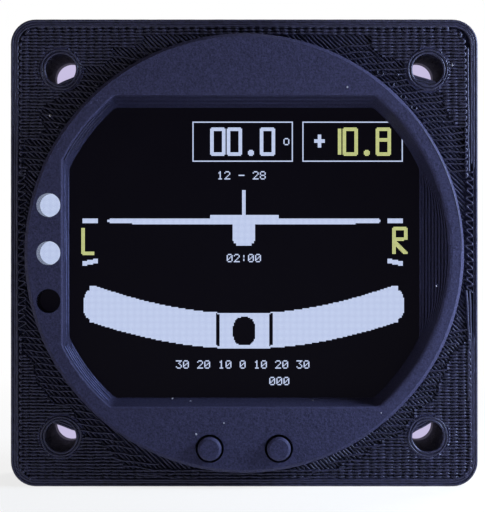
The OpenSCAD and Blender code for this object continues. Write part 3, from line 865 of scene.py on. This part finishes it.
def edgeAt(z, side, look):
    # half width of the lines at this height, inside the case's rounded outline
    flatInset, inset = look["flatInset"], look["leftInset"]
    if side > 0:
        up = 0.5 + z / (2 * housing["half"])
        inset = look["rightInset"] * (1 - up) + look["rightTopInset"] * up
    straight = housing["half"] - housing["corner"]
    past = abs(z) - straight
    if past <= 0:
        return housing["half"] - inset
    reach = (housing["corner"] - flatInset) ** 2 - past ** 2
    return straight + sqrt(max(0.0, reach)) - (inset - flatInset)


def clearSpans(z, look):
    # stretches of the face, from left to right at this height, that a line can cover
    spans = [(-edgeAt(z, -1, look), edgeAt(z, 1, look))]
    blocks = [(0.0, 0.0, housing["discRadius"] + look["discClear"])]
    blocks += [(x * holeAt, zHole * holeAt, look["ringRadii"][1] + look["ringClear"]) for x, zHole in corners]
    for cx, cz, radius in blocks:
        if abs(z - cz) < radius:
            reach = sqrt(radius ** 2 - (z - cz) ** 2)
            cut = [part for a, b in spans for part in ((a, min(b, cx - reach)), (max(a, cx + reach), b))]
            spans = [(a, b) for a, b in cut if b - a > look["shortest"]]
    return spans


def fromDisc(x, z):
    return hypot(x, z) - housing["discRadius"]


def sagAt(x, look):
    # 0 over a line of the support, 1 midway between two
    return sin(pi * x / look["supportPitch"]) ** 2


def linePlaces(a, b, look):
    # close together near both ends, then in step with the support
    places = [a + d for d in look["endSteps"] if a + d < (a + b) / 2]
    step = look["supportPitch"] / 4
    first, last = a + look["endSteps"][-1], b - look["endSteps"][-1]
    places += [n * step for n in range(ceil(first / step), floor(last / step) + 1)]
    places += [b - d for d in reversed(look["endSteps"]) if b - d > (a + b) / 2]
    return sorted(set(places))


def lineIsWhole(x, z, look):
    if housing["half"] - abs(z) < look["wholeRim"]:
        return True
    band = look["openBands"][(x > 0, z > 0)]
    return fromDisc(x, z) > band * (1 + 0.8 * unevenness(x, z, 0.25, 5.0)) + 0.35 * unevenness(x, z, 1.4, 2.0)


def lineRadius(x, z, fromEnd, look):
    sag = sagAt(x, look)
    radius = look["radius"] * (1 - look["thinning"] * sag)
    if housing["half"] - abs(z) < look["flatInset"] + look["knotBand"]:
        radius *= 1 + (look["knot"] - 1) * (1 - 2 * sag)
    if any(abs(fromEnd - place) < 0.1 for place in look["endKnots"]):
        radius = look["radius"] * look["endKnot"]
    return radius


def addLines(curve, strands, look):
    # the first layer: lines across the face, whole near the edges and stringy beside the disc
    top, half = housing["half"] - look["flatInset"], look["pitch"] / 2
    for row in range(int(2 * top / look["pitch"]) + 1):
        z = top - row * look["pitch"]
        if abs(z) < look["braidHalf"]:
            continue
        spans = clearSpans(z, look)
        for a, b in spans:
            run, thin = [], []
            for x in linePlaces(a, b, look):
                drift = look["wobble"] * unevenness(x, z, 0.7, row * 0.37)
                if lineIsWhole(x, z, look):
                    sag = sagAt(x, look) * (0.75 + 0.5 * unevenness(x, z, 0.35, 1.0))
                    radius = lineRadius(x, z, min(x - a, b - x), look)
                    radius *= 1 + 0.2 * unevenness(x, z, 1.3, row * 1.9)
                    rough = look["roughness"] * unevenness(x, z, 1.1, row * 2.3)
                    depth = max(look["depth"] + look["sag"] * sag + rough, radius + look["sunk"])
                    run.append((x, depth, z + drift, radius))
                    addBead(strands, thin)
                    thin = []
                    continue
                addBead(curve, run)
                run = []
                if row % 2 == 0:
                    lean = look["strandLean"] * (abs(x) - holeAt) + 0.25 * unevenness(x, z, 0.4, row)
                    radius = look["strandRadius"] * (1 + 0.3 * unevenness(x, z, 1.5, row))
                    thin.append((x, look["depth"] + 0.02 * lean, z + drift + lean, radius))
            addBead(curve, run)
            addBead(strands, thin)
        # the line turns round into the next one at one side
        if spans:
            side = -1 if row % 2 else 1
            xEnd = spans[0][0] if side < 0 else spans[-1][1]
            turns = [pi * n / 6 for n in range(7)]
            addBead(curve, [(xEnd + side * (half * sin(t) - 0.05), look["depth"] - 0.02,
                             z - half + half * cos(t), look["radius"] * 1.15) for t in turns])


def addBraids(curve, look):
    # where the disc nearly reaches the edge the line weaves back and forth in short slanted strokes
    for side, (top, bottom, outerInset, width) in look["braids"].items():
        points = []
        steps = round((top - bottom) / look["braidPitch"] * 6)
        for n in range(steps + 1):
            z = top + (bottom - top) * n / steps
            sway = cos(pi * n / 6)
            sway *= 1.22 - 0.22 * sway ** 2
            outer = housing["half"] - outerInset + 0.08 * unevenness(side * 3.0, z, 0.9)
            inner = outer - width * (1 + 0.25 * unevenness(side * 7.0, z, 0.7))
            inner = max(inner, sqrt((housing["discRadius"] + 0.2) ** 2 - z * z))
            slant = look["braidSlant"] * (1 + 0.4 * unevenness(side * 5.0, z, 1.1))
            points.append((side * ((outer + inner) / 2 + (outer - inner) / 2 * sway),
                           look["depth"] - 0.03 * sway + 0.06 * unevenness(side, z, 1.5), z - slant * sway,
                           look["radius"] * (0.64 + 0.14 * sway ** 2 + (0.3 if sway < -0.95 else 0.0))))
        addBead(curve, points)


def underPoint(x, z, row, look):
    nearHole = hypot(abs(x) - holeAt, abs(z) - holeAt) < look["underClear"]
    onFace = abs(x) < edgeAt(z, x, look) and abs(z) < housing["half"] - look["flatInset"]
    if nearHole or not onFace or fromDisc(x, z) <= 0:
        return None
    push = 0.07 * unevenness(x, z, 0.8, row * 0.7)
    radius = look["underRadius"] * (1 + 0.25 * unevenness(x, z, 1.1, row * 0.4))
    return x + push, look["underDepth"] + push * 0.6, z + push, radius


def addUnderLines(curve, look):
    # the second layer runs slantwise under the first and shows through its gaps
    for row, places in slantedRows(look["underPitch"], look["underStep"]):
        addRuns(curve, [underPoint(x, z, row, look) for x, z in places])


def squareLoop(inset, step):
    # points along the case's outline, drawn in by the inset
    straight = housing["half"] - housing["corner"]
    corner = housing["corner"] - inset
    middles = [(straight * x, straight * z) for x, z in ((1, 1), (-1, 1), (-1, -1), (1, -1))]
    bends, sides = max(3, round(corner * pi / 2 / step)), round(2 * straight / step)
    loop = []
    for quarter, (x, z) in enumerate(middles):
        turn = radians(90 * quarter)
        nextX, nextZ = middles[(quarter + 1) % 4]
        for n in range(bends + 1):
            angle = turn + pi / 2 * n / bends
            loop.append((x + corner * cos(angle), z + corner * sin(angle)))
        across, up = corner * cos(turn + pi / 2), corner * sin(turn + pi / 2)
        for part in [n / sides for n in range(1, sides)]:
            loop.append((x * (1 - part) + nextX * part + across, z * (1 - part) + nextZ * part + up))
    return loop


def addLoops(curve, look):
    for layer, inset in enumerate(look["loopInsets"]):
        loop = squareLoop(inset, look["step"])
        points = []
        for x, z in loop + loop[:1] * (layer > 0):
            thin = 1.0
            if layer and x > 0:
                # here the weave between the disc and the edge takes the inner loops' place
                thin = min(1.0, max(0.0, (abs(z) - look["braidHalf"] - 0.5 * layer) / 1.2) + 0.4)
                if layer == 2 and thin < 0.5:
                    points.append(None)
                    continue
            rough = unevenness(x, z, 0.8, layer * 4.0)
            draw = 1 - 0.0012 * (1 + rough) * (layer > 0)
            points.append((x * draw, look["loopDepth"] + 0.03 * rough * (layer > 0), z * draw,
                           thin * (look["loopRadius"] + 0.012 * rough)))
        if layer:
            addRuns(curve, points)
        else:
            addBead(curve, points, closed=True)


def addRings(curve, look):
    inner, outer = look["ringRadii"]
    for cx, cz, heading, nearest in look["droops"]:
        middleX, middleZ = cx * holeAt, cz * holeAt
        for layer, radius in enumerate(look["ringRadii"]):
            points = []
            for angle in fullTurn(40):
                across, up = cos(angle), sin(angle)
                rough = unevenness(cx * 9 + across, cz * 9 + up, 1.2, layer * 3.0)
                reach = radius * (1 + 0.05 * rough)
                points.append((middleX + reach * across, look["ringDepth"] + 0.08 * rough,
                               middleZ + reach * up, look["ringRadius"] + 0.04 * rough))
            addBead(curve, points, closed=True)
        # strands that sag straight across one side of the hole
        right, up = towards(heading)
        away = nearest
        while away < inner:
            half = sqrt(outer ** 2 - away ** 2)
            points = []
            for along in [half * (n / 4 - 1) for n in range(9)]:
                bow = away + 0.1 * unevenness(along, away, 0.6, cx + cz)
                points.append((middleX + right * bow - up * along, look["droopDepth"],
                               middleZ + up * bow + right * along, look["droopRadius"]))
            addBead(curve, points)
            away += look["droopPitch"]


def addEdgeStrands(curve, look):
    for top, topInset, bottom, bottomInset, radius in look["edgeStrands"]:
        steps = round((top - bottom) / look["step"])
        points = []
        for part in [n / steps for n in range(steps + 1)]:
            z = top + (bottom - top) * part
            x = housing["half"] - topInset * (1 - part) - bottomInset * part
            rough = unevenness(x, z, 0.25, 6.0)
            points.append((x + 0.12 * rough, look["depth"], z, radius * (1 + 0.15 * rough)))
        addBead(curve, points)


def addRimLine(curve, look):
    points = []
    for n in range(look["start"], look["end"] + 1):
        across, up = (look["reach"] * side for side in towards(n))
        fade = min(1.0, (n - look["start"] + 4) / look["fade"], (look["end"] - n + 4) / look["fade"])
        points.append((across, look["depth"], up,
                       look["radius"] * fade * (1 + 0.35 * unevenness(across, up, 0.4, 3.0))))
    addBead(curve, points)


def addWallStreaks(curve, streaks, opening):
    for start, end, share, radius in streaks:
        points = []
        for n in range(31):
            place = start + (end - start) * n / 30
            heading, along = (pi, place) if abs(start) < 1 else (radians(place), None)
            x, z = wallPoint(opening, heading, along, share)
            thin = min(1.0, 0.3 + n / 3, 0.3 + (30 - n) / 3)
            points.append((x, opening["front"] + (opening["rear"] - opening["front"]) * share, z,
                           radius * thin * (1 + 0.6 * unevenness(x, z, 1.1, 4.0 + share))))
        addBead(curve, points)


def addCurls(curve, look):
    for heading, gap, radius in look["curls"]:
        cx, cz = ((housing["discRadius"] + gap) * side for side in towards(heading))
        points = []
        for angle in fullTurn(14):
            across, up = cos(angle), sin(angle)
            reach = radius * (1 + 0.25 * unevenness(cx + across, cz + up, 1.0, 8.0))
            points.append((cx + reach * across, look["curlDepth"] + 0.1 * up,
                           cz + reach * up, look["strandRadius"]))
        addBead(curve, points, closed=True)


def addCrumbs(name, places, depth=0.0):
    bm = bmesh.new()
    for x, z, radius, *own in places:
        crumb = bmesh.ops.create_icosphere(bm, subdivisions=2, radius=radius)
        for vert in crumb["verts"]:
            vert.co *= 1 + 0.9 * noise.noise(vert.co * 5 + Vector((x, z, 0)))
            vert.co += Vector((x, own[0] if own else depth, z))
    return solidObject(bm, name)


lineBeads, strandBeads, underBeads, loopBeads, wallBeads = (startBeads(name) for name in (
    "face_lines", "face_strands", "face_under_lines", "face_outline_loops", "window_strands"))
addLines(lineBeads, strandBeads, beads)
addBraids(lineBeads, beads)
addUnderLines(underBeads, beads)
addLoops(loopBeads, beads)
addRings(loopBeads, beads)
addEdgeStrands(loopBeads, beads)
addRimLine(loopBeads, beads["rimLine"])
addWallStreaks(loopBeads, beads["shadedStreaks"], window)
addWallStreaks(wallBeads, beads["wallStreaks"], window)
addCurls(strandBeads, beads)
for beadCurve in (lineBeads, strandBeads, underBeads, loopBeads):
    finishBeads(beadCurve, "beadPlastic")
finishBeads(wallBeads, "tornPlasticPaintedHighlight")
finishPiece(addCrumbs("face_crumbs", beads["crumbs"], beads["crumbDepth"]), "beadPlastic")
finishPiece(addCrumbs("print_dust_and_glints", beads["dustAndGlints"]), "dustAndGlintPlastic")
print("flange beads done")

# rear cover: layered sides and the fine lines of its outer skin

coverFace = {
    "front": 12.5,
    "seam": 14.0,
    "back": 16.5,
    "sink": 0.06,  # the lines stand this far out of the flat between them
    "seamInset": 0.09,
    "lineRadius": 0.205,
    "pitch": 0.42,
    "loopInsets": (0.27, 0.67),
    "loopStep": 2.0,
    "lineInset": 0.95,
    "loopGap": 0.22,
    "lineGap": 0.5,
    "scan": 0.12,
    "holeRadius": 2.1,
    "screwAt": (15.5, 24.9),
    "screwRadius": 2.6,
    "jackAt": 12.5,
    "jackRadius": 1.65,
    "shellHalf": 8.33,
    "shellTall": 4.3,
    "shellLean": 0.132,
    "shellSquareness": 0.4,
}


def coverOpenings(look):
    screwX, screwZ = look["screwAt"]
    openings = [(x * holeAt, z * holeAt, look["holeRadius"]) for x, z in corners]
    openings += [(x * screwX, z * screwZ, look["screwRadius"]) for x, z in corners]
    return openings + [(x * look["jackAt"], 0.0, look["jackRadius"]) for x in (-1, 1)]


def onCover(x, z, openings, look):
    inset, gap = look["lineInset"], look["lineGap"]
    if max(abs(x), abs(z)) > housing["half"] - inset:
        return False
    xPast, zPast = (abs(side) - housing["half"] + housing["corner"] for side in (x, z))
    if min(xPast, zPast) > 0 and hypot(xPast, zPast) > housing["corner"] - inset:
        return False
    if abs(z) < look["shellTall"] + gap and abs(x) < look["shellHalf"] + look["shellLean"] * z + gap:
        return False
    return all(hypot(x - cx, z - cz) > radius + gap for cx, cz, radius in openings)


def addCoverLines(curve, openings, depth, look):
    for _, places in slantedRows(look["pitch"], look["scan"]):
        run = []
        for x, z in places:
            if onCover(x, -z, openings, look):
                run = run[:1] + [(x, depth, -z, look["lineRadius"])]
            elif run:
                addBead(curve, run)
                run = []


def addCoverLoops(curve, openings, depth, look):
    loops = [squareLoop(inset, look["loopStep"]) for inset in look["loopInsets"]]
    for cx, cz, opening in openings:
        reach = opening + look["loopGap"]
        loops.append([(cx + reach * cos(t), cz + reach * sin(t)) for t in fullTurn(36)])
    around = []
    for turn in fullTurn(72):
        across, up = (copysign(abs(side) ** look["shellSquareness"], side)
                      for side in (cos(turn), sin(turn)))
        z = up * (look["shellTall"] + look["loopGap"])
        around.append((across * (look["shellHalf"] + look["shellLean"] * z + look["loopGap"]), z))
    for loop in loops + [around]:
        addBead(curve, [(x, depth, z, look["lineRadius"]) for x, z in loop], closed=True)


def makeCover(look):
    cover = copyNode("rear_cover", "printed_back")
    half = housing["half"] - housing["skin"]
    bm, edges = squareOutline(half, housing["corner"], housing["cornerSegments"])
    rings = [(look["front"], look["seamInset"]), (look["seam"], look["seamInset"])]
    rings += layerRings(look["seam"] + 0.01, look["back"] - look["sink"], housing["layer"], housing["groove"])
    combine(cover, layeredPrism("coverEnvelope", bm, edges, half, rings), "INTERSECT")
    finishPiece(cover, "coverPlastic")
    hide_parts("rear_cover")
    openings, depth = coverOpenings(look), look["back"] - look["lineRadius"]
    lines = startBeads("back_lines")
    addCoverLines(lines, openings, depth, look)
    addCoverLoops(lines, openings, depth, look)
    finishBeads(lines, "coverPlastic")


makeCover(coverFace)
print("rear cover done")

# the display's picture, drawn in its own pixels: columns from the left and rows from the top

panel = {
    "columns": 320,
    "rows": 240,
    "left": -26.9,
    "top": 18.36,
    "pixel": 0.153,
    "face": 1.9,
    "lift": 0.025,
    "unlit": (0.01, 0.01, 0.015),
    "whiteGlow": ((0.71, 0.80, 1.0), (0.25, 0.31, 0.56)),
    "yellowGlow": ((0.73, 0.78, 0.31), (0.22, 0.24, 0.09)),
    "gapWidth": 0.2,  # the dark lines between pixels begin at this height of a wave
}

smallDigits = {
    "0": "01110 10001 10011 10101 11001 10001 01110",
    "1": "00100 01100 00100 00100 00100 00100 01110",
    "2": "01110 10001 00001 00010 00100 01000 11111",
    "3": "11111 00010 00100 00010 00001 10001 01110",
    "8": "01110 10001 10001 01110 10001 10001 01110",
    "-": "00000 00000 00000 11111 00000 00000 00000",
    ":": "00000 00100 00100 00000 00100 00100 00000",
}

picture = {
    "frames": ((132, 9, 217, 43), (225, 9, 310, 43)),
    "digitTop": 14, "digitTall": 24, "digitWide": 13, "stroke": 3, "bar": 9, "dot": 5,
    "whiteZeros": (147, 161, 189), "whiteDot": 179,
    "yellowZero": 259, "yellowDot": 277, "yellowEight": 287,
    "degree": (209, 23, 5, 6),  # left, top, width and height of the small ring
    # generic figures in small digits, with their left and top
    "smallRows": (("12 - 28", 153, 51), ("02:00", 161, 121),
                  ("30 20 10 0 10 20 30", 118, 211), ("000", 197, 225)),
    "smallPitch": 6,
    # plain boxes, each by its left, top, right and bottom
    "whiteBoxes": (
        (238, 20, 241, 31), (235, 24, 244, 27),  # plus sign
        (174, 67, 177, 91), (147, 88, 205, 91),  # aeroplane seen from behind: fin and tailplane,
        (81, 91, 270, 96), (62, 91, 290, 95), (60, 92, 291, 94),  # wings that taper to their tips,
        (166, 91, 185, 110), (167, 110, 184, 112), (169, 112, 182, 114),  # and body
        (39, 91, 52, 95), (297, 91, 310, 95),  # marks for level flight
        (39, 127, 43, 131), (43, 126, 48, 130), (48, 125, 52, 129),  # and for the standard turn
        (306, 127, 310, 131), (301, 126, 306, 130), (297, 125, 301, 129),
        (1, 65, 26, 95), (1, 105, 26, 135),  # the first two lamps
    ),
    "yellowBoxes": (
        (255, 15, 258, 37),  # the first digit
        (38, 99, 41, 121), (39, 119, 49, 122),  # the letter on the left
        (301, 99, 304, 121), (302, 98, 313, 101), (311, 99, 314, 109), (302, 107, 311, 110),  # and on the right
    ),
    "leg": {"rows": (110, 121), "lean": 190, "width": 5, "sides": (304, 314)},  # its slanted leg
    # the slip tube bends upward to both ends, and its top swells there up to a ceiling
    "tubeLeft": 40, "tubeRight": 311, "tubeMiddle": 175.5, "tubeTop": 171.3, "tubeTall": 29.9,
    "tubeRadius": 350.0, "tubeFlattening": 0.065, "tubeSwell": 2.4, "tubeCeiling": 148,
    "tubeEnd": ((10, 6), (7, 4), (5, 3), (4, 3), (4, 2)),  # cells cut off above and below, from the end inward
    "ball": (175.8, 186.3, 9.6, 12.0),  # its middle, half width and half height
    "ballRoundness": 2.6,
    "ballLines": ((152, 155), (197, 200)),
}


def fillBox(lit, left, top, right, bottom):
    lit.update((c, r) for c in range(left, right) for r in range(top, bottom))


def frameBox(lit, left, top, right, bottom):
    for side in ((left, top, right, top + 1), (left, bottom - 1, right, bottom),
                 (left, top, left + 1, bottom), (right - 1, top, right, bottom)):
        fillBox(lit, *side)


def roundDot(lit, left, look):
    size, foot = look["dot"], look["digitTop"] + look["digitTall"]
    fillBox(lit, left + 1, foot - size, left + size - 1, foot)
    fillBox(lit, left, foot - size + 1, left + size, foot - 1)


def smallRow(lit, words, left, top, pitch):
    for place, character in enumerate(words):
        for r, bits in enumerate(smallDigits.get(character, "").split()):
            lit.update((left + pitch * place + c, top + r) for c, bit in enumerate(bits) if bit == "1")


def largeZero(lit, left, look, barred=False):
    top, stroke = look["digitTop"], look["stroke"]
    right, foot = left + look["digitWide"], top + look["digitTall"]
    fillBox(lit, left, top + 1, left + stroke, foot - 1)
    fillBox(lit, right - stroke, top + 1, right, foot - 1)
    for start in (top, foot - stroke) + (top + look["bar"],) * barred:
        fillBox(lit, left + 1, start, right - 1, start + stroke)


def drawTube(lit, look):
    # slip tube with its ball and the two lines beside it
    middle, deep, wide, tall = look["ball"]
    power = look["ballRoundness"]
    for c in range(look["tubeLeft"], look["tubeRight"]):
        x = c + 0.5 - look["tubeMiddle"]
        along = 2 * x / (look["tubeRight"] - look["tubeLeft"])
        rise = x * x / (2 * look["tubeRadius"]) * (1 - look["tubeFlattening"] * along ** 2)
        fromEnd = min(c - look["tubeLeft"], look["tubeRight"] - 1 - c)
        cutTop, cutFoot = look["tubeEnd"][fromEnd] if fromEnd < len(look["tubeEnd"]) else (0, 0)
        top = round(max(look["tubeCeiling"], look["tubeTop"] - rise - look["tubeSwell"] * along ** 2)) + cutTop
        bottom = round(look["tubeTop"] + look["tubeTall"] - rise) - cutFoot
        fillBox(lit, c, top, c + 1, bottom)
        over = abs(c + 0.5 - middle) / wide
        if over < 1:
            reach = tall * (1 - over ** power) ** (1 / power)
            lit.difference_update((c, r) for r in range(round(deep - reach), round(deep + reach)))
        if any(a <= c < b for a, b in look["ballLines"]):
            lit.difference_update((c, r) for r in range(top + 1, bottom - 2))


def drawWhite(look):
    lit = set()
    for box in look["frames"]:
        frameBox(lit, *box)
    for box in look["whiteBoxes"]:
        fillBox(lit, *box)
    for left in look["whiteZeros"]:
        largeZero(lit, left, look)
    roundDot(lit, look["whiteDot"], look)
    left, top, wide, tall = look["degree"]
    lit.update((left + c, top + r) for c in range(wide) for r in range(tall)
               if (c in (0, wide - 1)) != (r in (0, tall - 1)))
    for words, left, top in look["smallRows"]:
        smallRow(lit, words, left, top, look["smallPitch"])
    drawTube(lit, look)
    return lit


def drawYellow(look):
    lit = set()
    largeZero(lit, look["yellowZero"], look)
    roundDot(lit, look["yellowDot"], look)
    largeZero(lit, look["yellowEight"], look, barred=True)
    for box in look["yellowBoxes"]:
        fillBox(lit, *box)
    leg = look["leg"]
    for row in range(*leg["rows"]):
        left, right = row + leg["lean"], row + leg["lean"] + leg["width"]
        fillBox(lit, max(leg["sides"][0], left), row, min(leg["sides"][1], right), row + 1)
    return lit


def litMaterial(name, screen):
    # the picture glows; dark lines run between the display's pixels
    material, tree, shader, coords = startMaterial(name)
    split = addNode(tree, "SeparateXYZ", {0: coords})
    lines = []
    for axis, start in (("X", screen["left"]), ("Z", screen["top"])):
        shift = addMath(tree, "SUBTRACT", split.outputs[axis], start * mm)
        turns = addMath(tree, "MULTIPLY", shift, 2 * pi / (screen["pixel"] * mm))
        lines.append(addRange(tree, addMath(tree, "COSINE", turns), 0.0, 1.0, screen["gapWidth"], 1.0))
    setInputs(tree, shader, {
        "Base Color": (*screen["unlit"], 1),
        "Roughness": 0.4,
        "Emission Color": addBlend(tree, addMath(tree, "MAXIMUM", *lines), *screen[name]),
        "Emission Strength": 1.0,
    })
    return material


def makePicture(name, lit, finish, screen):
    bm = bmesh.new()
    pixel = screen["pixel"]
    wide, tall = screen["columns"] * pixel, screen["rows"] * pixel
    bmesh.ops.create_grid(bm, x_segments=screen["columns"], y_segments=screen["rows"], size=0.5)
    bmesh.ops.scale(bm, verts=bm.verts, vec=(wide, tall, 1))
    standUp(bm)
    middle = (screen["left"] + wide / 2, screen["face"], screen["top"] - tall / 2)
    bmesh.ops.translate(bm, verts=bm.verts, vec=middle)
    unlit = []
    for face in bm.faces:
        spot = face.calc_center_median()
        if (int((spot.x - screen["left"]) / pixel), int((screen["top"] - spot.z) / pixel)) not in lit:
            unlit.append(face)
    bmesh.ops.delete(bm, geom=unlit, context="FACES")
    bmesh.ops.dissolve_limit(bm, angle_limit=0.01, verts=bm.verts, edges=bm.edges)
    grown = bmesh.ops.extrude_face_region(bm, geom=list(bm.faces))["geom"]
    bmesh.ops.translate(bm, verts=ofKind(grown, bmesh.types.BMVert), vec=(0, -screen["lift"], 0))
    finishes[finish] = litMaterial(finish, screen)
    finishPiece(solidObject(bm, name), finish)


makePicture("display_white", drawWhite(picture), "whiteGlow", panel)
makePicture("display_yellow", drawYellow(picture), "yellowGlow", panel)
print("display picture done")
